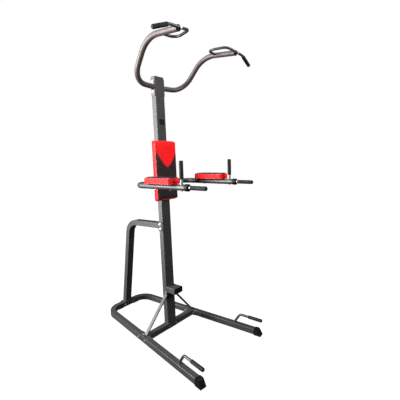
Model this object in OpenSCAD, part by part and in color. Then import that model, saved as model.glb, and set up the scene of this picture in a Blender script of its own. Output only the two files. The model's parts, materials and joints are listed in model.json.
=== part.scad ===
// Power tower: leaning post on a splayed floor frame, with a backrest, padded arms
// for leg raises and dips, pull-up bars with loop handles, and push-up handles.
// Millimetres, +Z up. The open side of the floor frame is the front and faces -Y.
// "left" is -X, as seen by someone standing in front of the tower.

/* [Floor frame] */
// side of the square floor tube
base_w = 50; // [40:1:60]
// wall of every steel tube
wall = 2.5; // [1.5:0.5:4]
// height of the floor tube above the floor
ground_gap = 4; // [2:1:8]
// splay of each side of the floor frame, degrees
splay = 7.6; // [0:0.2:12]
// outer half width of the frame where the rear frame meets the front legs
seam_half_w = 338; // [300:1:380]
// how far the front leg's tube reaches in front of the cross-beam's centre
leg_reach = 657; // [500:1:800]
// how far the rear tube's centreline is behind the cross-beam's centre
rear_reach = 645; // [500:1:800]
// bend of the rear frame's corners, to the centreline
rear_bend_r = 125; // [80:5:180]
// length of a front foot cap along the top and along the floor
cap_top_l = 38; // [20:1:60]
cap_foot_l = 67; // [40:1:90]

/* [Post] */
// width and depth of the post's tube
post_w = 100; // [80:1:120]
post_d = 50; // [40:1:60]
// backward lean of the post, degrees
lean = 3; // [0:0.5:8]
// height of the post's top above the floor
post_top = 2216; // [2000:1:2400]
// reach of the step stub in front of the post
step_reach = 101; // [60:1:140]
// height of the step stub's centre
step_z = 377; // [200:1:600]

/* [Rear support] */
// width and depth of the rear support's tube
support_w = 70; // [50:1:90]
support_d = 50; // [40:1:60]
// bend at the top, to the centreline
support_bend_r = 128; // [80:1:180]

/* [Arms] */
// diameter of the arm tube
arm_d = 45; // [38:1:51]
// half spacing of the arms
arm_x = 294; // [230:1:330]
// upward rise of the arms towards the front, degrees
arm_rise = 2; // [0:0.5:6]
// bend at the back of each arm, to the centreline
arm_bend_r = 80; // [60:1:120]
// length, width and thickness of an armrest, board included
rest_l = 292; // [240:1:360]
rest_w = 112; // [80:1:140]
// outward turn of the armrests, degrees
rest_turn = 3; // [0:0.5:10]
rest_t = 47; // [35:1:70]

/* [Backrest] */
// width, height and thickness of the backrest
back_w = 250; // [200:1:300]
back_h = 506; // [400:1:600]
back_t = 40; // [30:1:70]
// height of the backrest's lower edge
back_z = 1183; // [1000:1:1300]

/* [Pull-up bars] */
// diameter of the pull-up bar tube
bar_d = 42; // [32:1:48]
// bends of the bar, to the centreline
bar_bend_low_r = 160; // [100:5:220]
bar_bend_high_r = 220; // [120:5:260]

/* [Handles] */
// diameter of the small handle tubes
handle_d = 22; // [19:1:28]
// diameter of the foam grips
grip_d = 30; // [28:1:40]

/* [Hidden] */
$fn = 64;
corner_r = 4;
tap = 0.25;
beam_y = 26;
leg_top = ground_gap + base_w;
leg_mid = ground_gap + base_w / 2;
seam_y = beam_y - 48;
tan_splay = tan(splay);
leg_half = base_w / 2 / cos(splay);
post_y = beam_y + 4.5;
plate = 5;
steel = [0.27, 0.27, 0.29];
bar_steel = [0.34, 0.31, 0.31];
black = [0.06, 0.06, 0.06];
red = [0.80, 0.06, 0.09];
zinc = [0.75, 0.76, 0.78];

// ---------- helpers ----------
function unit(v) = v / norm(v);
// half width of the floor frame's centreline at a distance y from the front
function frame_x(y) = seam_half_w - leg_half + (seam_y - y) * tan_splay;

// put local X, Y, Z on three given directions at a point
module place(o, x, y, z) {
    multmatrix([
        [x[0], y[0], z[0], o[0]],
        [x[1], y[1], z[1], o[1]],
        [x[2], y[2], z[2], o[2]],
        [0, 0, 0, 1]
    ]) children();
}

// local Z along a direction, local Y as near as possible to "up"
module aim(o, d, up = [0, 0, 1]) {
    z = unit(d);
    side = abs(z * up) > 0.99 ? [0, 1, 0] : up;
    x = unit(cross(side, z));
    place(o, x, cross(z, x), z) children();
}

function turn(P, i) = acos(unit(P[i] - P[i - 1]) * unit(P[i + 1] - P[i]));
function cut(P, R, i) = (i == 0 || i == len(P) - 1) ? 0 : R[i - 1] * tan(turn(P, i) / 2);
function tidy(v) = round(v * 100) / 100;

// sweep a 2D profile along straight runs joined by round bends;
// "up" is the profile's Y, and must be square to a path that bends with a square profile;
// "seam" is the hairline left between a straight run and a bend
module sweep(P, R, up = [0, 0, 1], seam = 0) {
    z = unit(P[1] - P[0]);
    aim(P[0], z, up) sweep_from(P, R, 0, unit(cross(up, z)), z, seam) children();
}

// one straight run and the bend after it, drawn in the frame of the run's start;
// x and z are that frame's X and Z seen from outside
module sweep_from(P, R, i, x, z, seam) {
    run = tidy(norm(P[i + 1] - P[i]) - cut(P, R, i) - cut(P, R, i + 1));
    translate([0, 0, seam / 2]) linear_extrude(run - seam) children();
    if (i + 2 < len(P)) {
        d = unit(P[i + 2] - P[i + 1]);
        n = unit(d - z * (z * d));
        roll = tidy(atan2(n * cross(z, x), n * x));
        th = tidy(turn(P, i + 1));
        r = R[i];
        nx = n * cos(th) - z * sin(th);
        nz = z * cos(th) + n * sin(th);
        translate([0, 0, run]) rotate([0, 0, roll]) {
            multmatrix([[-1, 0, 0, r], [0, 0, 1, 0], [0, 1, 0, 0], [0, 0, 0, 1]])
                rotate_extrude(angle = th) translate([r, 0]) mirror([1, 0]) rotate(-roll) children();
            translate([r, 0, 0]) rotate([0, th, 0]) translate([-r, 0, 0]) rotate([0, 0, -roll])
                sweep_from(P, R, i + 1, nx * cos(roll) - cross(nz, nx) * sin(roll), nz, seam)
                    children();
        }
    }
}

module rounded(w, h, r) {
    square([w - 2 * r, h], center = true);
    square([w, h - 2 * r], center = true);
    for (x = [-1, 1], y = [-1, 1]) translate([x * (w / 2 - r), y * (h / 2 - r)]) circle(r);
}

module box_profile(w, h, t = wall) {
    difference() {
        rounded(w, h, corner_r);
        square([w - 2 * t, h - 2 * t], center = true);
    }
}

module ring_profile(d, t = wall) {
    difference() {
        circle(d = d);
        circle(d = d - 2 * t);
    }
}

// child drawn for +X, shown on the chosen side
module on_side(s) {
    if (s > 0) children();
    else mirror([1, 0, 0]) children();
}

// frame of the post: Z up the post, origin at its centre on top of the cross-beam
module on_post() translate([0, post_y, leg_top]) rotate([-lean, 0, 0]) children();
function up_post(z) = (z - leg_top) / cos(lean);

// frame of one arm: origin on the arm's axis at the post's centre plane, Z up, -Y forward
arm_z = 1334;
arm_y = post_y + (arm_z - leg_top) * tan(lean);
module on_arm() translate([arm_x, arm_y, arm_z]) rotate([-arm_rise, 0, 0]) children();

// frame of one side of the floor frame: Y back along the side, origin at the seam, leg's mid
// height
module on_leg() translate([frame_x(seam_y), seam_y, leg_mid]) rotate([0, 0, splay]) children();

// hexagon bolt along +Z from the head's seat at z = 0, nut seated at z = grip
module bolt(d, grip, nut = true, head = true) {
    af = d * 1.6;
    if (head) {
        translate([0, 0, -d * 0.62]) cylinder(h = d * 0.62 - 1.5, d = af * 1.12, $fn = 6);
        translate([0, 0, -1.5]) cylinder(h = 1.5, d = af * 1.3);
    }
    translate([0, 0, -1.5]) cylinder(h = grip + (nut ? d * 0.9 + 3 : 0) + 1.5, d = d);
    if (nut) {
        translate([0, 0, grip]) cylinder(h = 1.5, d = af * 1.3);
        translate([0, 0, grip + 1.5]) cylinder(h = d * 0.8, d = af * 1.12, $fn = 6);
    }
}

module hole(d, l) translate([0, 0, -l / 2]) cylinder(h = l, d = d);

// ---------- floor frame ----------
leg_bolt_s = [18, 110];
bolt_d = 10;
rear_y = beam_y + rear_reach;

module leg_bolt_axes() {
    for (s = leg_bolt_s) translate([0, s, 0]) rotate([0, 90, 0]) children();
}

module support_foot_bolt_axes() {
    for (x = [-47, 47]) translate([x, rear_y, leg_mid + 6]) rotate([90, 0, 0]) children();
}

module brace_foot_axis() translate([0, brace_foot_s, base_w / 2]) children();
brace_foot_s = 74;

module rear_base_frame() {
    xs = frame_x(seam_y);
    xr = frame_x(rear_y);
    color(steel) difference() {
        sweep(
            [[-xs, seam_y, leg_mid], [-xr, rear_y, leg_mid], [xr, rear_y, leg_mid], [xs, seam_y, leg_mid]],
            [rear_bend_r, rear_bend_r]
        ) box_profile(base_w, base_w);
        for (s = [-1, 1]) on_side(s) on_leg() {
            leg_bolt_axes() hole(bolt_d + 1, 120);
            brace_foot_axis() hole(9, 20);
        }
        support_foot_bolt_axes() hole(bolt_d + 1, 120);
    }
}

// front leg, with a reduced neck that goes into the rear frame's open tube
module front_leg() {
    length = (seam_y - beam_y + leg_reach) / cos(splay);
    neck = base_w - 2 * wall - 2 * tap;
    on_leg() difference() {
        union() {
            rotate([90, 0, 0]) linear_extrude(length) box_profile(base_w, base_w);
            difference() {
                translate([-neck / 2, -30, -neck / 2]) cube([neck, 168, neck]);
                translate([-neck / 2 + 2, -31, -neck / 2 + 2]) cube([neck - 4, 170, neck - 4]);
            }
        }
        leg_bolt_axes() hole(bolt_d + 1, 120);
        brace_foot_axis() hole(9, 20);
    }
}
module front_leg_left() color(steel) on_side(-1) front_leg();
module front_leg_right() color(steel) on_side(1) front_leg();

// cross-beam with a bolting flange welded to each end
module cross_beam() {
    flange_l = 142;
    inner = seam_half_w - base_w / cos(splay);
    color(steel) {
        difference() {
            translate([-inner, beam_y, leg_mid]) rotate([0, 90, 0])
                linear_extrude(2 * inner) box_profile(base_w, base_w);
            for (s = [-1, 1]) on_side(s) on_leg()
                translate([-base_w / 2 - plate, -60, -base_w]) cube([3 * base_w, 300, 2 * base_w]);
            for (x = [-42, 42]) translate([x, beam_y, leg_mid + 1]) rotate([90, 0, 0]) hole(bolt_d + 1, 120);
        }
        for (s = [-1, 1]) on_side(s) on_leg() difference() {
            translate([-base_w / 2 - plate, -7, 0]) rotate([0, 90, 0])
                linear_extrude(plate) translate([0, flange_l / 2]) rounded(base_w - 2, flange_l, 12);
            leg_bolt_axes() hole(bolt_d + 1, 120);
        }
    }
}

// slanted plastic cap over a front leg's end, with a plug inside the tube
module foot_cap() {
    length = (seam_y - beam_y + leg_reach) / cos(splay);
    over = 2;
    h = leg_top + 3;
    in = base_w - 2 * wall - 2 * tap;
    on_leg() translate([0, -length, -leg_mid]) {
        difference() {
            translate([-base_w / 2 - over / 2, 0, 0]) rotate([90, 0, 90]) linear_extrude(base_w + over)
                polygon([
                    [0, 0], [0, h], [-cap_top_l + 6, h], [-cap_top_l, h - 4],
                    [-cap_foot_l, 5], [-cap_foot_l + 4, 0]
                ]);
            translate([-base_w / 2 + 6, -cap_foot_l + 14, -1]) cube([base_w - 12, cap_foot_l - 24, 3]);
        }
        translate([-in / 2, 0, leg_mid - in / 2]) cube([in, 26, in]);
    }
}
module foot_cap_left() color(black) on_side(-1) foot_cap();
module foot_cap_right() color(black) on_side(1) foot_cap();

module rear_foot_pads() {
    color(black) for (x = [-95, 95]) translate([x, rear_y, 0]) linear_extrude(ground_gap) rounded(70, 44, 5);
}

// ---------- push-up handles ----------
function leg_point(s, z) = [frame_x(seam_y) + s * sin(splay), seam_y - s * cos(splay), z];
push_path = [leg_point(408, leg_top - 12), leg_point(470, leg_top + 87), leg_point(675, leg_top + 85)];
push_dir = unit(push_path[2] - push_path[1]);

module pushup_handle() {
    difference() {
        sweep(push_path, [34]) ring_profile(handle_d, 2);
        translate([200, -900, -20]) cube([400, 900, 20 + leg_top]);
    }
    aim(push_path[2] - push_dir * 8, push_dir) cylinder(h = 8.5, d = handle_d - 4 - tap);
}
module pushup_handle_left() color(steel) on_side(-1) pushup_handle();
module pushup_handle_right() color(steel) on_side(1) pushup_handle();

// foam sleeve, closed and rounded at its outer end
module grip(tip, dir, length, d = grip_d, core = handle_d) {
    aim(tip - dir * length, dir) difference() {
        union() {
            translate([0, 0, 3]) cylinder(h = length - 5, d = d);
            cylinder(h = 3, d1 = d - 5, d2 = d);
            translate([0, 0, length - 2]) cylinder(h = 6, d1 = d, d2 = d - 9);
        }
        translate([0, 0, -1]) cylinder(h = length + 2, d = core);
    }
}
module pushup_grip_left() color(black) on_side(-1) grip(push_path[2], push_dir, 124);
module pushup_grip_right() color(black) on_side(1) grip(push_path[2], push_dir, 124);

// ---------- post ----------
post_l = up_post(post_top);
back_bolt_z = [up_post(back_z + 80), up_post(back_z + 395)];
arm_bolt_dz = 46;
bar_z = up_post(2134);
bar_bolt_dz = 41;
brace_z = 349;
support_z = up_post(951);
support_bolt_dz = 22;

module cross_axis(z, y = 0) on_post() translate([0, y, z]) rotate([0, 90, 0]) children();
arm_on_post = up_post(arm_z);
bar_bolts_z = [bar_z - bar_bolt_dz, bar_z + bar_bolt_dz];
arm_bolts_z = [arm_on_post - arm_bolt_dz, arm_on_post + arm_bolt_dz];
support_bolts_z = [support_z - support_bolt_dz, support_z + support_bolt_dz];

module post() {
    color(steel) difference() {
        on_post() translate([0, 0, -8]) linear_extrude(post_l + 8) box_profile(post_w, post_d, 3);
        translate([-100, post_y - 100, leg_top - 60]) cube([200, 200, 60 + plate]);
        for (z = concat(bar_bolts_z, arm_bolts_z)) cross_axis(z) hole(bolt_d + 1, 200);
        for (z = support_bolts_z) cross_axis(z, 4) hole(bolt_d + 1, 200);
        translate([0, beam_y, brace_z]) rotate([0, 90, 0]) hole(bolt_d + 1, 200);
        for (z = back_bolt_z) on_post() translate([0, 0, z]) rotate([90, 0, 0]) hole(9, 120);
    }
}

// inverted U that the post is welded to, bolted over the cross-beam
module post_saddle() {
    w = post_w + 4;
    inside = base_w / 2 + 0.3;
    t = plate - 1;
    color(steel) difference() {
        union() {
            translate([-w / 2, beam_y - inside - t, leg_top]) cube([w, 2 * (inside + t), plate]);
            for (s = [-1, 1]) translate([-w / 2, beam_y + s * (inside + t / 2) - t / 2, ground_gap + 4])
                cube([w, t, leg_top - ground_gap - 4]);
        }
        for (x = [-42, 42]) translate([x, beam_y, leg_mid + 1]) rotate([90, 0, 0]) hole(bolt_d + 1, 120);
    }
}

module post_cap() {
    color(black) on_post() translate([0, 0, post_l]) {
        linear_extrude(3) rounded(post_w, post_d, corner_r);
        translate([0, 0, -18]) linear_extrude(18)
            square([post_w - 6 - 2 * tap, post_d - 6 - 2 * tap], center = true);
    }
}

// short piece of the post's tube, welded to its front as a step
module step_stub() {
    color(steel) on_post() translate([0, -post_d / 2, up_post(step_z)]) rotate([90, 0, 0])
        linear_extrude(step_reach) box_profile(post_w, post_d, 3);
}
module step_plug() {
    in_w = post_w - 6 - 2 * tap;
    in_d = post_d - 6 - 2 * tap;
    color(black) on_post() translate([0, -post_d / 2 - step_reach, up_post(step_z)]) rotate([90, 0, 0]) {
        translate([0, 0, -22]) linear_extrude(20) difference() {
            square([in_w, in_d], center = true);
            square([in_w - 6, in_d - 6], center = true);
        }
        translate([0, 0, -8]) linear_extrude(3) square([in_w - 5, in_d - 5], center = true);
        translate([0, 0, -2]) linear_extrude(3.5) difference() {
            rounded(post_w, post_d, corner_r);
            square([in_w - 6, in_d - 6], center = true);
        }
    }
}

// flat-ended diagonal from the post's side down to the floor frame
module brace() {
    t = 12;
    tab = 4;
    x0 = post_w / 2 + tap;
    x1 = frame_x(brace_foot_y) - 4;
    z1 = leg_top;
    difference() {
        translate([0, beam_y + 14, 0]) rotate([90, 0, 0]) linear_extrude(28) polygon([
            [x0, brace_z + 24], [x0 + tab, brace_z + 24], [x0 + tab, brace_z - 16],
            [x0 + 16, brace_z - 30], [x1 - 16, z1 + 23], [x1, z1 + tab],
            [x1 + 24, z1 + tab], [x1 + 24, z1], [x1 - 16, z1], [x1 - 26, z1 + 16],
            [x0 + 4, brace_z - 34], [x0, brace_z - 22]
        ]);
        translate([0, beam_y, brace_z]) rotate([0, 90, 0]) hole(bolt_d + 1, 300);
        on_leg() brace_foot_axis() hole(9, 40);
    }
}
brace_foot_y = seam_y + brace_foot_s * cos(splay);
module brace_left() color(steel) on_side(-1) brace();
module brace_right() color(steel) on_side(1) brace();

// ---------- rear support ----------
support_top = [0, post_y + (951 - leg_top) * tan(lean) + post_d / 2 + plate, 951 - 3];
support_knee = [0, beam_y + 538, 918.5];
support_foot = [0, beam_y + 648.5, leg_top + plate];
support_dir = unit(support_knee - support_top);

module rear_support() {
    start = support_top - support_dir * 12;
    end = support_foot + unit(support_foot - support_knee) * 12;
    color(steel) difference() {
        sweep([start, support_knee, end], [support_bend_r], [1, 0, 0], 0.02)
            box_profile(support_d, support_w);
        on_post() translate([-100, -100, 600]) cube([200, 100 + post_d / 2 + plate, 600]);
        translate([-100, 500, -50]) cube([200, 300, 50 + support_foot[2]]);
    }
}

// saddle welded under the rear support, bolted over the rear tube
module rear_support_foot() {
    w = 130;
    inside = base_w / 2 + 0.3;
    t = plate - 1;
    color(steel) difference() {
        union() {
            translate([-w / 2, rear_y - inside - t, leg_top]) cube([w, 2 * (inside + t), plate]);
            for (s = [-1, 1]) translate([-w / 2, rear_y + s * (inside + t / 2) - t / 2, leg_top - 36])
                cube([w, t, 36]);
        }
        support_foot_bolt_axes() hole(bolt_d + 1, 120);
    }
}

// channel welded to the rear support's front end, wrapped round the post
module rear_support_bracket() {
    h = 86;
    t = plate - 1;
    in_x = post_w / 2 + 0.3;
    color(steel) difference() {
        on_post() translate([0, 0, support_z - h / 2]) {
            translate([-in_x - t, post_d / 2, 0]) cube([2 * (in_x + t), plate, h]);
            for (s = [-1, 1]) translate([s * (in_x + t / 2) - t / 2, -16, 0]) cube([t, post_d / 2 + 16, h]);
        }
        for (z = support_bolts_z) cross_axis(z, 4) hole(bolt_d + 1, 200);
    }
}

// ---------- arms ----------
arm_front = -565;
screw_y = [-228, -392];
rest_front = -448;
handle_y = -504;

module flange(h, bolt_dz) {
    difference() {
        translate([post_w / 2, 0, 0]) rotate([0, 90, 0]) linear_extrude(6) rounded(h, post_d - 4, 10);
        for (z = [-bolt_dz, bolt_dz]) translate([0, 0, z]) rotate([0, 90, 0]) hole(bolt_d + 1, 300);
    }
}

module arm() {
    drop = [0, cos(arm_rise), -sin(arm_rise)];
    a0 = [post_w / 2 + 5, arm_y, arm_z];
    knee = [arm_x, arm_y, arm_z];
    tip = knee + drop * arm_front;
    difference() {
        union() {
            sweep([a0, knee, tip], [arm_bend_r]) ring_profile(arm_d);
            on_post() translate([0, 0, arm_on_post]) flange(132, arm_bolt_dz);
        }
        on_arm() for (y = screw_y) translate([0, y, 0]) hole(7, 80);
        on_arm() translate([0, handle_y, 0]) hole(11, 80);
    }
}
module arm_left() color(steel) on_side(-1) arm();
module arm_right() color(steel) on_side(1) arm();

// plastic collar over the arm's end, with a hole for the dip handle's tube
module arm_cap() {
    on_arm() translate([0, arm_front, 0]) rotate([90, 0, 0]) difference() {
        union() {
            translate([0, 0, -22]) cylinder(h = 26, d = arm_d + 7);
            translate([0, 0, 4]) cylinder(h = 5, d1 = arm_d + 7, d2 = arm_d - 6);
        }
        translate([0, 0, -23]) cylinder(h = 23, d = arm_d + 2 * tap);
        translate([0, 0, -1]) cylinder(h = 20, d = 25 + 2 * tap);
    }
}
module arm_cap_left() color(black) on_side(-1) arm_cap();
module arm_cap_right() color(black) on_side(1) arm_cap();

// dip handle: tube that runs into the arm, with two locating rings
dip_reach = 158;
module dip_handle() {
    on_arm() translate([0, arm_front, 0]) rotate([90, 0, 0]) {
        difference() {
            translate([0, 0, -110]) cylinder(h = 110 + dip_reach, d = 25);
            translate([0, 0, -111]) cylinder(h = 106 + dip_reach, d = 21);
        }
        for (z = [-104, -30]) translate([0, 0, z]) difference() {
            cylinder(h = 6, d = arm_d - 2 * wall - tap);
            translate([0, 0, -1]) cylinder(h = 8, d = 24);
        }
    }
}
module dip_handle_left() color(zinc) on_side(-1) dip_handle();
module dip_handle_right() color(zinc) on_side(1) dip_handle();

module dip_grip() {
    on_arm() grip([0, arm_front - dip_reach, 0], [0, -1, 0], 134, grip_d + 1, 25);
}
module dip_grip_left() color(black) on_side(-1) dip_grip();
module dip_grip_right() color(black) on_side(1) dip_grip();

// upright handle: stub welded on top of the arm
up_reach = 184;
module upright_handle() {
    on_arm() difference() {
        translate([0, handle_y, 10]) cylinder(h = up_reach - 10, d = handle_d);
        translate([0, handle_y, 34]) cylinder(h = up_reach - 42, d = handle_d - 4);
        translate([0, handle_y, 5]) cylinder(h = 30, d = 8);
        translate([0, handle_y + 40, 0]) rotate([90, 0, 0]) cylinder(h = 80, d = arm_d + 0.2);
    }
}
module upright_handle_left() color(zinc) on_side(-1) upright_handle();
module upright_handle_right() color(zinc) on_side(1) upright_handle();

module upright_grip() {
    on_arm() grip([0, handle_y, up_reach], [0, 0, 1], 128);
}
module upright_grip_left() color(black) on_side(-1) upright_grip();
module upright_grip_right() color(black) on_side(1) upright_grip();

// cushion with a board let into its back
module cushion(w, l, t, r, bw, bl, bt) {
    difference() {
        linear_extrude(t) rounded(w, l, r);
        translate([0, 0, -1]) linear_extrude(bt + 1) rounded(bw + 2 * tap, bl + 2 * tap, r - 6);
    }
}

module on_rest() {
    on_arm() translate([4, rest_front + rest_l / 2, arm_d / 2 - 1]) rotate([0, 0, rest_turn]) children();
}
module armrest_pad() {
    difference() {
        on_rest() cushion(rest_w, rest_l, rest_t, 16, rest_w - 16, rest_l - 16, 12);
        on_arm() rotate([90, 0, 0]) translate([0, 0, -50]) cylinder(h = 600, d = arm_d + 0.4);
    }
}
module armrest_pad_left() color(red) on_side(-1) armrest_pad();
module armrest_pad_right() color(red) on_side(1) armrest_pad();

module armrest_board() {
    difference() {
        on_rest() translate([0, 0, 0.2]) linear_extrude(11.8) rounded(rest_w - 16, rest_l - 16, 10);
        on_arm() rotate([90, 0, 0]) translate([0, 0, -50]) cylinder(h = 600, d = arm_d + 0.4);
        on_arm() for (y = screw_y) translate([0, y, 0]) cylinder(h = 33, d = 6);
    }
}
module armrest_board_left() color([0.55, 0.42, 0.28]) on_side(-1) armrest_board();
module armrest_board_right() color([0.55, 0.42, 0.28]) on_side(1) armrest_board();

// ---------- backrest ----------
module on_back() {
    on_post() translate([0, -post_d / 2, up_post(back_z) + back_h / 2]) rotate([90, 0, 0]) children();
}
module backrest_pad() {
    color(red) on_back() translate([0, 0, 0.2])
        cushion(back_w, back_h, back_t, 18, back_w - 20, back_h - 20, 12);
}
module backrest_board() {
    color([0.55, 0.42, 0.28]) difference() {
        on_back() translate([0, 0, 0.2]) linear_extrude(11.8) rounded(back_w - 20, back_h - 20, 12);
        for (z = back_bolt_z) on_post() translate([0, -post_d / 2 - 10, z]) rotate([90, 0, 0]) hole(8, 40);
    }
}

// ---------- pull-up bars ----------
bar_start = [post_w / 2 + 5, beam_y + 109, 2134];
bar_path = [bar_start, [280, beam_y + 81, 2139], [315, beam_y - 123, 2406], [330, beam_y - 444, 2382]];
bar_dir = unit(bar_path[3] - bar_path[2]);

module pullup_bar() {
    sweep(bar_path, [bar_bend_low_r, bar_bend_high_r], seam = 0.02) ring_profile(bar_d);
    on_post() translate([0, 0, bar_z]) flange(148, bar_bolt_dz);
}
module pullup_bar_left() color(bar_steel) on_side(-1) pullup_bar();
module pullup_bar_right() color(bar_steel) on_side(1) pullup_bar();

module bar_cap() {
    aim(bar_path[3], bar_dir) difference() {
        union() {
            cylinder(h = 6, d = bar_d + 1);
            translate([0, 0, 6]) cylinder(h = 2, d1 = bar_d + 1, d2 = bar_d - 4);
            translate([0, 0, -22]) cylinder(h = 22.5, d = bar_d - 2 * wall - tap);
        }
        translate([0, 0, -23]) cylinder(h = 50, d = 8);
    }
}
module bar_cap_left() color(black) on_side(-1) bar_cap();
module bar_cap_right() color(black) on_side(1) bar_cap();

// hand grip outside the bar's end, crossing it and looping back to the bar's inner side
loop_path = [
    [545, beam_y - 442, 2328], [418, beam_y - 455, 2379], [329, beam_y - 464, 2380],
    [220, beam_y - 440, 2401], [178, beam_y - 280, 2396], [312, beam_y - 256, 2401]
];
loop_dir = unit(loop_path[0] - loop_path[1]);
module end_handle() {
    difference() {
        sweep(loop_path, [70, 160, 60, 58], seam = 0.02) ring_profile(20, 2);
        aim(bar_path[3], bar_dir) translate([0, 0, -30]) cylinder(h = 80, d = 8.4);
        aim(bar_path[3], -bar_dir) translate([0, 0, 60]) cylinder(h = 190, d = bar_d + 0.2);
    }
    aim(loop_path[0] - loop_dir * 8, loop_dir) cylinder(h = 9, d = 15.5);
}
module end_handle_left() color(bar_steel) on_side(-1) end_handle();
module end_handle_right() color(bar_steel) on_side(1) end_handle();

module end_grip_left() color(black) on_side(-1) grip(loop_path[0], loop_dir, 122, grip_d - 1, 20);
module end_grip_right() color(black) on_side(1) grip(loop_path[0], loop_dir, 122, grip_d - 1, 20);

// ---------- fasteners ----------
module leg_bolts() {
    color(zinc) for (s = [-1, 1]) on_side(s) on_leg() for (y = leg_bolt_s)
        translate([base_w / 2 + 0.1, y, 0]) rotate([0, -90, 0]) bolt(bolt_d, base_w + plate + 0.2);
}
module saddle_bolts() {
    g = base_w + 0.6 + 2 * (plate - 1);
    color(zinc) for (x = [-42, 42]) translate([x, beam_y - g / 2, leg_mid + 1]) rotate([-90, 0, 0])
        bolt(bolt_d, g);
}
module brace_bolts() {
    g = post_w + 2 * tap + 8;
    color(zinc) translate([-g / 2, beam_y, brace_z]) rotate([0, 90, 0]) bolt(bolt_d, g);
}
module brace_foot_bolts() {
    color(zinc) for (s = [-1, 1]) on_side(s) on_leg() brace_foot_axis()
        translate([0, 0, 4]) rotate([180, 0, 0]) bolt(8, 10);
}
module support_bolts() {
    g = post_w + 0.6 + 2 * (plate - 1);
    color(zinc) for (z = support_bolts_z)
        cross_axis(z, 4) translate([0, 0, -g / 2]) bolt(bolt_d, g);
}
module support_foot_bolts() {
    g = base_w + 0.6 + 2 * (plate - 1);
    color(zinc) support_foot_bolt_axes() translate([0, 0, g / 2]) rotate([180, 0, 0]) bolt(bolt_d, g);
}
module arm_bolts() {
    color(zinc) for (z = arm_bolts_z)
        cross_axis(z) translate([0, 0, -post_w / 2 - 6]) bolt(bolt_d, post_w + 12);
}
module bar_bolts() {
    color(zinc) for (z = bar_bolts_z)
        cross_axis(z) translate([0, 0, -post_w / 2 - 6]) bolt(bolt_d, post_w + 12);
}
module backrest_bolts() {
    color(zinc) for (z = back_bolt_z) on_post() translate([0, post_d / 2, z]) rotate([90, 0, 0])
        bolt(8, post_d + 11, nut = false);
}
module armrest_screws() {
    color(zinc) for (s = [-1, 1]) on_side(s) on_arm() for (y = screw_y)
        translate([0, y, -arm_d / 2]) bolt(6, arm_d + 9, nut = false);
}
module handle_bolts() {
    color(zinc) for (s = [-1, 1]) on_side(s) {
        on_arm() translate([0, handle_y, -arm_d / 2]) bolt(8, arm_d + 11, nut = false);
        aim(bar_path[3] + bar_dir * 29, -bar_dir) bolt(8, 44, nut = false);
    }
}

// plain raised plate on the post's front
module badge() {
    color(black) on_post() translate([3, -post_d / 2, up_post(1848)]) rotate([90, 0, 0])
        linear_extrude(1) rounded(54, 46, 5);
}

// ---------- selection ----------
rear_base_frame();
cross_beam();
front_leg_left();
front_leg_right();
foot_cap_left();
foot_cap_right();
rear_foot_pads();
pushup_handle_left();
pushup_handle_right();
pushup_grip_left();
pushup_grip_right();
post();
post_saddle();
post_cap();
step_stub();
step_plug();
brace_left();
brace_right();
rear_support();
rear_support_foot();
rear_support_bracket();
arm_left();
arm_right();
arm_cap_left();
arm_cap_right();
dip_handle_left();
dip_handle_right();
dip_grip_left();
dip_grip_right();
upright_handle_left();
upright_handle_right();
upright_grip_left();
upright_grip_right();
armrest_pad_left();
armrest_pad_right();
armrest_board_left();
armrest_board_right();
backrest_pad();
backrest_board();
pullup_bar_left();
pullup_bar_right();
bar_cap_left();
bar_cap_right();
end_handle_left();
end_handle_right();
end_grip_left();
end_grip_right();
leg_bolts();
saddle_bolts();
brace_bolts();
brace_foot_bolts();
support_bolts();
support_foot_bolts();
arm_bolts();
bar_bolts();
backrest_bolts();
armrest_screws();
handle_bolts();
badge();
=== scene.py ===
"""Power tower: materials, stuffed pads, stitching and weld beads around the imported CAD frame."""
import json
from math import cos, exp, pi, radians, sin, sqrt

import bmesh
import bpy
from mathutils import Matrix, Vector
from mathutils.bvhtree import BVHTree


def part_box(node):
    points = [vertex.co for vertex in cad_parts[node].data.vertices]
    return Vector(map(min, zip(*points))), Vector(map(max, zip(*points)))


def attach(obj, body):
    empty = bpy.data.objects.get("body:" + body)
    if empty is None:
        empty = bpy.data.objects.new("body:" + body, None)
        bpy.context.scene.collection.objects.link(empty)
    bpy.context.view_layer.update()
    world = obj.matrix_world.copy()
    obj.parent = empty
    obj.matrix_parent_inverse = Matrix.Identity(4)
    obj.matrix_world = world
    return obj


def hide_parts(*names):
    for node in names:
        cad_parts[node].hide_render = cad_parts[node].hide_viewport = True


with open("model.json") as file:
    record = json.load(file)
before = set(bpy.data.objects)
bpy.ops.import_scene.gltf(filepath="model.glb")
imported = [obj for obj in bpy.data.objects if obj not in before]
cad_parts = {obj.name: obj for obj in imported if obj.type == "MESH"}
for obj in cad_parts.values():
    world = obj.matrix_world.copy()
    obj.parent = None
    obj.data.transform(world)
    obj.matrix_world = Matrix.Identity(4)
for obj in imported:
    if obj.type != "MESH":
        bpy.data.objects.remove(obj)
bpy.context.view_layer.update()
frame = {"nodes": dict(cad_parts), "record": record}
LEAN = radians(3.0)        # post and backrest lean back
RISE = radians(2.0)        # arms rise towards the front
SPLAY = radians(7.6)       # each front leg turns outward
REST_TURN = radians(3.0)   # each armrest turns outward
X, Y, Z = Vector((1, 0, 0)), Vector((0, 1, 0)), Vector((0, 0, 1))
back_out = Vector((0, -cos(LEAN), sin(LEAN)))
back_up = Vector((0, sin(LEAN), cos(LEAN)))
rest_out = Vector((0, sin(RISE), cos(RISE)))
rest_back = Vector((0, cos(RISE), -sin(RISE)))


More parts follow.
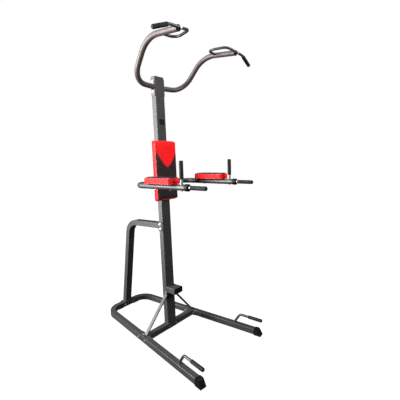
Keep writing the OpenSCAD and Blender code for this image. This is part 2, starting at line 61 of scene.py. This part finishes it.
# ---------- materials ----------
class Graph:
    """Short way to build one node material round a Principled shader."""

    def __init__(self, name, rough=0.5, metallic=0.0, specular=0.5, coat=0.0, sheen=0.0):
        self.mat = bpy.data.materials.new(name)
        self.mat.use_nodes = True
        self.tree = self.mat.node_tree
        self.shader = self.tree.nodes["Principled BSDF"]
        self.set("Roughness", rough)
        self.set("Metallic", metallic)
        self.set("Specular IOR Level", specular)
        self.set("Coat Weight", coat)
        self.set("Coat Roughness", 0.18)
        self.set("Sheen Weight", sheen)
        self.coords = self.node("ShaderNodeTexCoord").outputs["Object"]

    def set(self, socket, value):
        self.shader.inputs[socket].default_value = value

    def node(self, kind, **props):
        n = self.tree.nodes.new(kind)
        for k, v in props.items():
            setattr(n, k, v)
        return n

    def link(self, a, b):
        self.tree.links.new(a, b)

    def put(self, socket, value):
        if isinstance(value, (int, float)):
            socket.default_value = value
        else:
            self.link(value, socket)

    def math(self, op, a, b=0.0, clamp=False):
        n = self.node("ShaderNodeMath", operation=op, use_clamp=clamp)
        self.put(n.inputs[0], a)
        self.put(n.inputs[1], b)
        return n.outputs[0]

    def stretched(self, scale):
        n = self.node("ShaderNodeMapping")
        n.inputs["Scale"].default_value = scale
        self.link(self.coords, n.inputs["Vector"])
        return n.outputs[0]

    def noise(self, scale, detail=3.0, rough=0.55, vector=None):
        n = self.node("ShaderNodeTexNoise")
        self.link(vector or self.coords, n.inputs["Vector"])
        n.inputs["Scale"].default_value = scale
        n.inputs["Detail"].default_value = detail
        n.inputs["Roughness"].default_value = rough
        return n.outputs["Fac"]

    def cells(self, scale, feature="F1", vector=None):
        n = self.node("ShaderNodeTexVoronoi", feature=feature)
        self.link(vector or self.coords, n.inputs["Vector"])
        n.inputs["Scale"].default_value = scale
        return n.outputs["Distance"]

    def ramp(self, value, low, high, to_low=0.0, to_high=1.0):
        n = self.node("ShaderNodeMapRange", clamp=True)
        self.link(value, n.inputs["Value"])
        for socket, v in zip(("From Min", "From Max", "To Min", "To Max"), (low, high, to_low, to_high)):
            n.inputs[socket].default_value = v
        return n.outputs["Result"]

    def mix(self, factor, a, b):
        n = self.node("ShaderNodeMix", data_type="RGBA")
        self.put(n.inputs["Factor"], factor)
        for socket, v in ((n.inputs[6], a), (n.inputs[7], b)):
            if isinstance(v, tuple):
                socket.default_value = (*v, 1.0)
            else:
                self.link(v, socket)
        return n.outputs[2]

    def color(self, value):
        self.link(value, self.shader.inputs["Base Color"])

    def rough(self, value):
        self.link(value, self.shader.inputs["Roughness"])

    def bump(self, *layers):
        """Each layer is (height, strength, distance in metres)."""
        normal = None
        for height, strength, distance in layers:
            n = self.node("ShaderNodeBump")
            n.inputs["Strength"].default_value = strength
            n.inputs["Distance"].default_value = distance
            self.link(height, n.inputs["Height"])
            if normal is not None:
                self.link(normal, n.inputs["Normal"])
            normal = n.outputs["Normal"]
        self.link(normal, self.shader.inputs["Normal"])


def shade(rgb, k):
    return tuple(c * k for c in rgb)


def powder_coat(name, rgb, rough=0.4, coat=0.05):
    """Satin powder coat: orange peel, faint mottling, rubbed patches and a few dull scuffs."""
    g = Graph(name, rough, 0.1, specular=0.26, coat=coat)
    mottle = g.ramp(g.noise(9.0, 4.0), 0.35, 0.68)
    fleck = g.ramp(g.noise(700.0, 2.0), 0.62, 0.8)
    base = g.mix(mottle, shade(rgb, 0.9), shade(rgb, 1.1))
    base = g.mix(g.math("MULTIPLY", fleck, 0.08), base, shade(rgb, 1.6))
    scuff = g.ramp(g.noise(11.0, 6.0, 0.7), 0.64, 0.78)
    g.color(g.mix(g.math("MULTIPLY", scuff, 0.1), base, shade(rgb, 1.6)))
    g.rough(g.math("ADD", g.ramp(g.noise(30.0, 5.0), 0.3, 0.7, rough - 0.05, rough + 0.07),
                   g.math("MULTIPLY", scuff, 0.06)))
    g.bump((g.noise(420.0, 2.0), 0.012, 0.0002))
    return g.mat


def plated(name, rgb, rough=0.24):
    """Bright plated steel with fine brushing and dull spots."""
    g = Graph(name, rough, 1.0, specular=0.5)
    brushed = g.noise(260.0, 3.0, 0.6, g.stretched((1.0, 1.0, 0.08)))
    spots = g.ramp(g.noise(55.0, 5.0, 0.7), 0.55, 0.75)
    g.color(g.mix(spots, rgb, shade(rgb, 0.72)))
    g.rough(g.math("ADD", g.ramp(brushed, 0.3, 0.7, rough - 0.05, rough + 0.08),
                   g.math("MULTIPLY", spots, 0.15)))
    g.bump((brushed, 0.12, 0.0001))
    return g.mat


def moulded(name, rgb, rough=0.5):
    """Injection-moulded plastic with a fine spark texture."""
    g = Graph(name, rough, 0.0, specular=0.1)
    g.color(g.mix(g.ramp(g.noise(40.0, 4.0), 0.35, 0.7), shade(rgb, 0.85), shade(rgb, 1.3)))
    g.rough(g.ramp(g.noise(120.0, 3.0), 0.3, 0.7, rough - 0.07, rough + 0.1))
    g.bump((g.noise(1400.0, 2.0), 0.3, 0.00015))
    return g.mat


def foam(name, rgb):
    """Closed-cell foam sleeve: pitted skin with painted shade in the pits, and handling shine."""
    g = Graph(name, 0.6, 0.0, specular=0.14)
    pit_depth_and_shade = g.ramp(g.cells(750.0), 0.1, 0.5)
    # the pits are painted darker and their rims lighter: painted shade in the pits
    g.color(g.mix(pit_depth_and_shade, shade(rgb, 0.7), shade(rgb, 1.2)))
    g.rough(g.ramp(g.noise(25.0, 4.0), 0.35, 0.7, 0.58, 0.8))
    g.bump((pit_depth_and_shade, 0.35, 0.0003), (g.noise(90.0, 2.0), 0.12, 0.0008))
    return g.mat


def vinyl_layers(g, rough):
    grain = g.cells(620.0, "DISTANCE_TO_EDGE")
    crease = g.cells(150.0, "DISTANCE_TO_EDGE", g.stretched((1.0, 1.4, 1.0)))
    g.rough(g.math("ADD", g.ramp(g.noise(18.0, 4.0), 0.3, 0.7, rough - 0.05, rough + 0.08),
                   g.ramp(grain, 0.0, 0.12, 0.07, 0.0)))
    g.bump((g.ramp(grain, 0.0, 0.16), 0.18, 0.0003), (g.ramp(crease, 0.0, 0.06), 0.08, 0.0004),
           (g.noise(22.0, 2.0), 0.1, 0.0015))
    return grain


def pad_vinyl(name, red, black, half, top, inset, vee=None):
    """Grained vinyl. The outer panel is black inside a border, red elsewhere; vee = (tip, rise, power)
    keeps the top of the panel red down to a rounded point."""
    g = Graph(name, 0.5, 0.0, specular=0.08)
    grain = vinyl_layers(g, 0.48)
    xyz = g.node("ShaderNodeSeparateXYZ")
    g.link(g.coords, xyz.inputs[0])
    x = g.math("ABSOLUTE", xyz.outputs[0])
    y = g.math("ABSOLUTE", xyz.outputs[1])
    soft = 0.0006
    inside = g.math("MULTIPLY", g.ramp(x, half[0] - inset, half[0] - inset + soft, 1.0, 0.0),
                    g.ramp(y, half[1] - inset, half[1] - inset + soft, 1.0, 0.0))
    inside = g.math("MULTIPLY", inside, g.ramp(xyz.outputs[2], top, top + soft))
    if vee:
        tip, rise, power = vee
        edge = g.math("MULTIPLY", g.math("POWER", g.math("DIVIDE", x, half[0]), power), rise)
        over = g.math("SUBTRACT", g.math("SUBTRACT", xyz.outputs[1], tip), edge)
        inside = g.math("MULTIPLY", inside, g.ramp(over, -soft, soft, 1.0, 0.0))
    worn = g.ramp(g.noise(11.0, 5.0, 0.6), 0.35, 0.7)
    reds = g.mix(worn, shade(red, 0.9), shade(red, 1.08))
    blacks = g.mix(worn, shade(black, 0.85), shade(black, 1.2))
    both = g.mix(inside, reds, blacks)
    # the grain's grooves are painted darker: painted shade in the grain
    g.color(g.mix(g.ramp(grain, 0.0, 0.05, 0.14, 0.0), both, shade(black, 0.4)))
    return g.mat


def plain_vinyl(name, rgb):
    g = Graph(name, 0.4, 0.0, specular=0.5, coat=0.1)
    vinyl_layers(g, 0.4)
    g.color(g.mix(g.ramp(g.noise(16.0, 4.0), 0.35, 0.7), shade(rgb, 0.9), shade(rgb, 1.1)))
    return g.mat


def plywood(name):
    g = Graph(name, 0.62, 0.0, specular=0.3)
    fibres = g.noise(34.0, 6.0, 0.65, g.stretched((9.0, 0.6, 9.0)))
    g.color(g.mix(g.ramp(fibres, 0.3, 0.7), (0.34, 0.2, 0.1), (0.6, 0.42, 0.24)))
    g.bump((fibres, 0.2, 0.0004))
    return g.mat


def thread(name, rgb):
    g = Graph(name, 0.6, 0.0, specular=0.3, sheen=0.2)
    twist = g.noise(2600.0, 2.0)
    g.color(g.mix(twist, shade(rgb, 0.7), shade(rgb, 1.3)))
    g.bump((twist, 0.4, 0.0002))
    return g.mat


CHARCOAL = (0.024, 0.0228, 0.0238)
BAR_GREY = (0.046, 0.035, 0.033)
RED = (0.6, 0.005, 0.0065)
BLACK = (0.016, 0.0115, 0.0115)
paint = powder_coat("frame_powder_coat", CHARCOAL)
bar_paint = powder_coat("bar_powder_coat", BAR_GREY, 0.45, 0.0)
zinc = plated("zinc_plate", (0.38, 0.38, 0.395), 0.36)
satin_tube = plated("satin_plate", (0.17, 0.165, 0.17), 0.5)
plastic = moulded("black_plastic", (0.0025, 0.0025, 0.0026))
badge_plastic = moulded("badge_plastic", (0.006, 0.006, 0.007), 0.3)
foam_black = foam("grip_foam", (0.004, 0.004, 0.0042))
wood = plywood("plywood")
MATERIAL = {"frame_paint": paint, "bar_paint": bar_paint, "plated_tube": satin_tube, "zinc_bolts": zinc,
            "black_plastic": plastic, "foam_grip": foam_black, "pad_board": wood,
            "badge_plate": badge_plastic}

slot_of = {s["node"]: s["material_slot"] for s in frame["record"]["subparts"]}
for node, obj in frame["nodes"].items():
    mat = MATERIAL.get(slot_of[node])
    if mat:
        obj.data.materials.clear()
        obj.data.materials.append(mat)


# ---------- helpers ----------
def new_object(name, verts, faces, mat, smooth=True):
    mesh = bpy.data.meshes.new(name)
    mesh.from_pydata([tuple(v) for v in verts], [], faces)
    mesh.validate()
    mesh.materials.append(mat)
    if smooth:
        mesh.shade_smooth()
    obj = bpy.data.objects.new(name, mesh)
    bpy.context.scene.collection.objects.link(obj)
    return obj


def centre(node):
    lo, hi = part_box(node)
    return (Vector(lo) + Vector(hi)) / 2


def axes(origin, x, y, z):
    m = Matrix((x, y, z)).transposed().to_4x4()
    m.translation = origin
    return m


def tube_along(points, radius, closed, sides=8, beads=0.0):
    """Vertices and faces of a tube along points; beads is the length of the ripples in its radius."""
    n = len(points)
    verts, faces = [], []
    length = 0.0
    up = Vector((0.31, 0.17, 0.93)).normalized()   # parallel to none of the paths
    swell = 0.16
    for i, p in enumerate(points):
        a = points[(i - 1) % n] if closed or i else p
        b = points[(i + 1) % n] if closed or i < n - 1 else p
        t = (b - a).normalized()
        u = up.cross(t).normalized()
        v = t.cross(u)
        if i:
            length += (p - points[i - 1]).length
        r = radius * (1 + (swell * abs(sin(pi * length / beads)) if beads else 0.0))
        turns = [2 * pi * k / sides for k in range(sides)]
        verts += [p + (u * cos(a) + v * sin(a)) * r for a in turns]
    for i in range(n if closed else n - 1):
        for k in range(sides):
            j, m = (i + 1) % n, (k + 1) % sides
            faces.append((i * sides + k, i * sides + m, j * sides + m, j * sides + k))
    if not closed:
        faces.append(tuple(range(sides - 1, -1, -1)))
        faces.append(tuple((n - 1) * sides + k for k in range(sides)))
    return verts, faces


def add_part(verts, faces, part):
    """Adds one (verts, faces) part to the lists."""
    base = len(verts)
    verts += part[0]
    faces += [tuple(i + base for i in face) for face in part[1]]


def resample(points, step, closed):
    """The same path with evenly spaced points."""
    pts = list(points) + ([points[0]] if closed else [])
    out, left = [pts[0].copy()], step
    for a, b in zip(pts, pts[1:]):
        span = (b - a).length
        at = left
        while at <= span:
            out.append(a.lerp(b, at / span))
            at += step
        left = at - span
    if closed and (out[-1] - out[0]).length < step * 0.5:
        out.pop()
    return out


def round_rect(w, h, r, step=0.004):
    """Closed outline of a rounded rectangle, with evenly spaced points at z = 0."""
    pts = []
    for cx, cy, a0 in ((1, 1, 0), (-1, 1, 90), (-1, -1, 180), (1, -1, 270)):
        for k in range(7):
            a = radians(a0 + 15 * k)
            pts.append(Vector((cx * (w / 2 - r) + r * cos(a), cy * (h / 2 - r) + r * sin(a), 0.0)))
    return resample(pts, step, True)


# ---------- pads ----------
PRESSURE = 4.0
CLOTH_FRAMES = 20
SEAM_WIDTH = 0.003
STITCH = (0.0065, 0.0045, 0.00045)   # pitch, length and thread radius
WELT = 0.0016
LOWER_WELT = 0.002


def pad_block(name, w, l, t, r, edge):
    """Closed block with round corners in plan and a rounded front edge, back at z = 0."""
    bm = bmesh.new()
    ring = [bm.verts.new(p) for p in round_rect(w, l, r, 0.006)]
    base = bm.faces.new(ring)
    top = bmesh.ops.extrude_face_region(bm, geom=[base])
    moved = [g for g in top["geom"] if isinstance(g, bmesh.types.BMVert)]
    bmesh.ops.translate(bm, verts=moved, vec=(0, 0, t))
    bmesh.ops.recalc_face_normals(bm, faces=bm.faces)
    rim = [e for e in bm.edges if all(v.co.z > t - 1e-5 for v in e.verts) and len(e.link_faces) == 2
           and any(abs(f.normal.z) < 0.5 for f in e.link_faces)]
    bmesh.ops.bevel(bm, geom=rim, offset=edge, segments=4, profile=0.55, affect="EDGES")
    mesh = bpy.data.meshes.new(name)
    bm.to_mesh(mesh)
    bm.free()
    obj = bpy.data.objects.new(name, mesh)
    bpy.context.scene.collection.objects.link(obj)
    return obj


def applied(obj):
    """Applies the object's modifiers and returns the object."""
    dg = bpy.context.evaluated_depsgraph_get()
    mesh = bpy.data.meshes.new_from_object(obj.evaluated_get(dg))
    obj.modifiers.clear()
    old = obj.data
    obj.data = mesh
    bpy.data.meshes.remove(old)
    return obj


def stuff(obj, voxel, cap, crown, half, thickness):
    """Remeshes the block and swells it with a pressurised cloth, each point by at most cap.
    crown raises the middle of the outer face."""
    m = obj.modifiers.new("remesh", "REMESH")
    m.mode = "VOXEL"
    m.voxel_size = voxel
    applied(obj)
    rest = [v.co.copy() for v in obj.data.vertices]
    moved = [v.copy() for v in rest]
    pin = obj.vertex_groups.new(name="pin")
    pin.add([i for i, v in enumerate(rest) if v.z < voxel * 0.8], 1.0, "REPLACE")
    c = obj.modifiers.new("cloth", "CLOTH")
    c.settings.use_pressure = True
    c.settings.uniform_pressure_force = PRESSURE
    c.settings.quality = 4
    c.settings.effector_weights.gravity = 0.0
    c.settings.vertex_group_mass = "pin"
    c.collision_settings.use_collision = False
    scene = bpy.context.scene
    for f in range(1, CLOTH_FRAMES + 1):
        scene.frame_set(f)
    dg = bpy.context.evaluated_depsgraph_get()
    ev = obj.evaluated_get(dg).to_mesh()
    moved = [v.co.copy() for v in ev.vertices]
    obj.evaluated_get(dg).to_mesh_clear()
    obj.modifiers.clear()
    scene.frame_set(1)
    for i, v in enumerate(obj.data.vertices):
        step = moved[i] - rest[i]
        if step.length > cap:
            step *= cap / step.length
        v.co = rest[i] + step
        v.co.z = max(v.co.z, 0.0)
        fx = max(0.0, 1 - (rest[i].x / half[0]) ** 2)
        fy = max(0.0, 1 - (rest[i].y / half[1]) ** 4)
        v.co.z += crown * fx * fy * max(0.0, rest[i].z / thickness)
    s = obj.modifiers.new("smooth", "SMOOTH")
    s.factor = 0.5
    s.iterations = 2
    d = obj.modifiers.new("subdivide", "SUBSURF")
    d.levels = d.render_levels = 1
    return applied(obj)


def groove(obj, distance, depth, width, above):
    """Pulls the skin in along a seam, where z > above; distance(x, y) is how far a point is from it."""
    for v in obj.data.vertices:
        if v.co.z > above:
            d = distance(v.co.x, v.co.y)
            if d < 4 * width:
                v.co.z -= depth * exp(-((d / width) ** 2))


def on_skin(tree, x, y, lift):
    hit = tree.ray_cast(Vector((x, y, 0.3)), Vector((0, 0, -1)))
    return hit[0] + hit[1] * lift if hit[0] else None


def stitch_line(points, tree, pitch, length, radius):
    """Short thread lozenges lying on the skin along a path in the pad's own x and y."""
    verts, faces = [], []
    path = resample(points, pitch, False)
    for a, b in zip(path, path[1:]):
        d = (b - a).normalized()
        row = []
        for k in range(5):
            q = a + d * (length * k / 4)
            p = on_skin(tree, q.x, q.y, radius * (0.9 - 0.9 * abs(k - 2) / 2))
            if p is None:
                break
            row.append(p)
        if len(row) == 5:
            add_part(verts, faces, tube_along(row, radius, False, 6))
    return verts, faces


def make_pad(node, size, place, panel_inset, vee, voxel, cap, crown, edge, radius):
    """One stuffed pad with welt, seams and stitches, in the space of its CAD solid.

    size is width, length and thickness, place its matrix; panel_inset and vee are the black panel's
    border and red point (see pad_vinyl); voxel, cap and crown go to stuff(); edge and radius round
    the front edge and the corners."""
    w, l, t = size
    obj = pad_block(node + "_skin", w - 0.001, l - 0.001, t - cap / 2, radius, edge)
    half = (w / 2, l / 2)
    stuff(obj, voxel, cap, crown, half, t)
    mat = pad_vinyl(node + "_vinyl", RED, BLACK, half, t * 0.72, panel_inset, vee)
    obj.data.materials.clear()
    obj.data.materials.append(mat)
    obj.data.shade_smooth()

    inset = panel_inset + cap * 0.2

    def border(x, y):
        return abs(max(abs(x) - (half[0] - inset), abs(y) - (half[1] - inset)))

    def vee_gap(x, y):
        tip, rise, power = vee
        slope = rise * power * (abs(x) / half[0]) ** (power - 1) / half[0]
        return abs(y - tip - rise * (abs(x) / half[0]) ** power) / sqrt(1 + slope * slope)

    groove(obj, border, 0.0012, SEAM_WIDTH, t * 0.7)
    if vee:
        groove(obj, vee_gap, 0.0016, SEAM_WIDTH, t * 0.7)
    tree = BVHTree.FromPolygons([v.co for v in obj.data.vertices],
                                [tuple(p.vertices) for p in obj.data.polygons])
    # welt along the panel's border
    outline = round_rect(w - 2 * inset, l - 2 * inset, max(radius - inset, 0.006))
    welt_pts = [on_skin(tree, p.x, p.y, 0.0004) for p in outline]
    welt_pts = [p for p in welt_pts if p is not None]
    verts, faces = tube_along(welt_pts, WELT, True)
    welt = new_object(node + "_welt", verts, faces, red_vinyl)
    # stitching inside the border, and on both sides of the red point's seam
    loop = round_rect(w - 2 * inset - 0.016, l - 2 * inset - 0.016, 0.008)
    runs = [loop + [loop[0]]]
    if vee:
        tip, rise, power = vee
        for shift in (-0.005, 0.005):
            across = [0.93 * (k / 20 - 1) for k in range(41)]   # in half widths
            runs.append([Vector((half[0] * x, tip + shift + rise * abs(x) ** power, 0.0))
                         for x in across])
    verts, faces = [], []
    for run in runs:
        add_part(verts, faces, stitch_line(run, tree, *STITCH))
    seams = new_object(node + "_stitches", verts, faces, thread_dark)
    # lower welt where the vinyl turns under at the board
    low = [p + Z * 0.004 for p in round_rect(w + 0.001, l + 0.001, radius)]
    verts, faces = tube_along(low, LOWER_WELT, True)
    under = new_object(node + "_lower_welt", verts, faces, red_vinyl)
    for piece in (obj, welt, seams, under):
        piece.matrix_world = place
        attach(piece, "root")
    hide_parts(node)
    return obj


red_vinyl = plain_vinyl("red_vinyl", RED)
thread_dark = thread("thread", (0.05, 0.01, 0.012))

lo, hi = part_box("backrest_pad")
BACK = (hi[0] - lo[0], 0.506, 0.040)
back_place = axes(centre("backrest_pad") - back_out * BACK[2] / 2, X, back_up, back_out)
make_pad("backrest_pad", BACK, back_place, panel_inset=0.007, vee=(0.030, 0.145, 1.4), voxel=0.005,
         cap=0.005, crown=0.004, edge=0.009, radius=0.018)

REST = (0.112, 0.292, 0.047)
for s, side in ((-1, "left"), (1, "right")):
    node = "armrest_pad_" + side
    rest_place = axes(centre(node) - rest_out * REST[2] / 2, X, rest_back, rest_out)
    make_pad(node, REST, rest_place @ Matrix.Rotation(s * REST_TURN, 4, "Z"), panel_inset=0.006,
             vee=None, voxel=0.004, cap=0.004, crown=0.003, edge=0.007, radius=0.016)


# ---------- weld beads ----------
BEAD = 0.0022                   # radius of a bead
BEAD_RIPPLE = 0.0045
STEP_TUBE = (0.100, 0.050)      # sections that the beads run round
SUPPORT_TUBE = (0.070, 0.0505)
ARM_WELD = 0.0228
BAR_WELD = 0.0213
FLANGE_OUT = 0.0565             # outer face of the flanges, from the middle plane
PUSHUP_TUBE = 0.011


def bead(name, points, mat=paint):
    verts, faces = tube_along(resample(points, 0.0016, True), BEAD, True, beads=BEAD_RIPPLE)
    obj = new_object(name, verts, faces, mat)
    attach(obj, "root")


def ring(origin, u, v, ru, rv, n=48):
    turns = [2 * pi * k / n for k in range(n)]
    return [origin + u * (ru * cos(a)) + v * (rv * sin(a)) for a in turns]


def oblong(origin, v, size):
    return [origin + X * p.x + v * p.y for p in round_rect(*size, 0.004)]


step_root = centre("step_stub") - back_out * 0.0495
bead("weld_step", oblong(step_root, back_up, STEP_TUBE))
foot = centre("rear_support_foot")
foot_top = Vector((0, foot.y + 0.0035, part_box("rear_support_foot")[1][2]))
bead("weld_support_foot", oblong(foot_top, Y, SUPPORT_TUBE))
bracket_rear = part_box("rear_support_bracket")[1][1] - 0.0018
bracket_root = Vector((0, bracket_rear, centre("rear_support_bracket").z))
bead("weld_support_bracket", oblong(bracket_root, back_up, SUPPORT_TUBE))
arm_mid = centre("arm_bolts")
bar_mid = centre("bar_bolts") - Y * 0.0005
for s, side in ((-1, "left"), (1, "right")):
    out = X * (s * FLANGE_OUT)
    bead("weld_arm_" + side, ring(out + Y * arm_mid.y + Z * arm_mid.z, Y, Z, ARM_WELD, ARM_WELD))
    bead("weld_bar_" + side, ring(out + Y * bar_mid.y + Z * bar_mid.z, Y, Z, BAR_WELD, BAR_WELD),
         bar_paint)
    # a push-up handle leans forward, so it meets its leg in an ellipse
    lo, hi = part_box("pushup_handle_" + side)
    along = Vector((s * sin(SPLAY), -cos(SPLAY), 0))
    root = Vector((s * (min(abs(lo[0]), abs(hi[0])) + PUSHUP_TUBE), hi[1] - 0.013, lo[2]))
    bead("weld_pushup_" + side, ring(root, along, along.cross(Z), 0.0143, 0.0123))


# ---------- floor, light, camera ----------
floor_mat = Graph("floor", 0.85, 0.0, specular=0.1)
floor_mat.set("Emission Color", (1.0, 1.0, 1.0, 1.0))
floor_mat.set("Emission Strength", 0.985)
floor_mat.color(floor_mat.mix(floor_mat.noise(3.0, 2.0), (0.2, 0.2, 0.2), (0.22, 0.22, 0.22)))
FAR = 40.0
corners = [(-FAR, -FAR, 0), (FAR, -FAR, 0), (FAR, FAR, 0), (-FAR, FAR, 0)]
floor = new_object("floor", corners, [(0, 1, 2, 3)], floor_mat.mat, smooth=False)
floor.location.z = -0.0005
floor.visible_diffuse = False
floor.visible_glossy = False

world = bpy.data.worlds.new("studio")
world.use_nodes = True
bpy.context.scene.world = world
nodes, links = world.node_tree.nodes, world.node_tree.links
sky = nodes["Background"]
sky.inputs["Color"].default_value = (0.95, 0.97, 1.0, 1.0)
sky.inputs["Strength"].default_value = 0.09
backdrop = nodes.new("ShaderNodeBackground")
backdrop.inputs["Color"].default_value = (1.0, 1.0, 1.0, 1.0)
choose = nodes.new("ShaderNodeMixShader")
path = nodes.new("ShaderNodeLightPath")
links.new(path.outputs["Is Camera Ray"], choose.inputs[0])
links.new(sky.outputs[0], choose.inputs[1])
links.new(backdrop.outputs[0], choose.inputs[2])
links.new(choose.outputs[0], nodes["World Output"].inputs[0])
bpy.context.scene.view_settings.view_transform = "Standard"


def softbox(name, at, target, size, watts, keep_off=()):
    """A rectangular studio light that does not light the objects in keep_off."""
    light = bpy.data.lights.new(name, "AREA")
    light.shape = "RECTANGLE"
    light.size, light.size_y = size
    light.energy = watts
    obj = bpy.data.objects.new(name, light)
    obj.location = at
    aim = Vector(target) - Vector(at)
    obj.rotation_euler = aim.to_track_quat("-Z", "Y").to_euler()
    bpy.context.scene.collection.objects.link(obj)
    if keep_off:
        group = bpy.data.collections.new(name + "_flags")
        for o in keep_off:
            group.objects.link(o)
        obj.light_linking.receiver_collection = group
        for member in group.collection_objects:
            member.light_linking.link_state = "EXCLUDE"
    return obj


softbox("key_left", (-2.6, 1.5, 1.9), (0, 0, 1.5), (1.5, 3.2), 640, keep_off=(floor,))
softbox("fill_front", (0.5, -2.7, 2.8), (0, 0, 1.9), (1.6, 1.6), 135, keep_off=(floor,))
overhead = softbox("overhead", (0.0, 0.0, 5.0), (0, 0, 0), (7.0, 7.0), 300)
overhead.data.color = (0.88, 0.94, 1.0)

cam = bpy.data.cameras.new("camera")
cam.sensor_width = 36.0
cam.lens = 27.93
cam_obj = bpy.data.objects.new("camera", cam)
cam_obj.location = (-1.87455, -1.88938, 1.5986)
cam_obj.rotation_euler = (radians(81.19), 0.0, radians(-50.19))
bpy.context.scene.collection.objects.link(cam_obj)
bpy.context.scene.camera = cam_obj
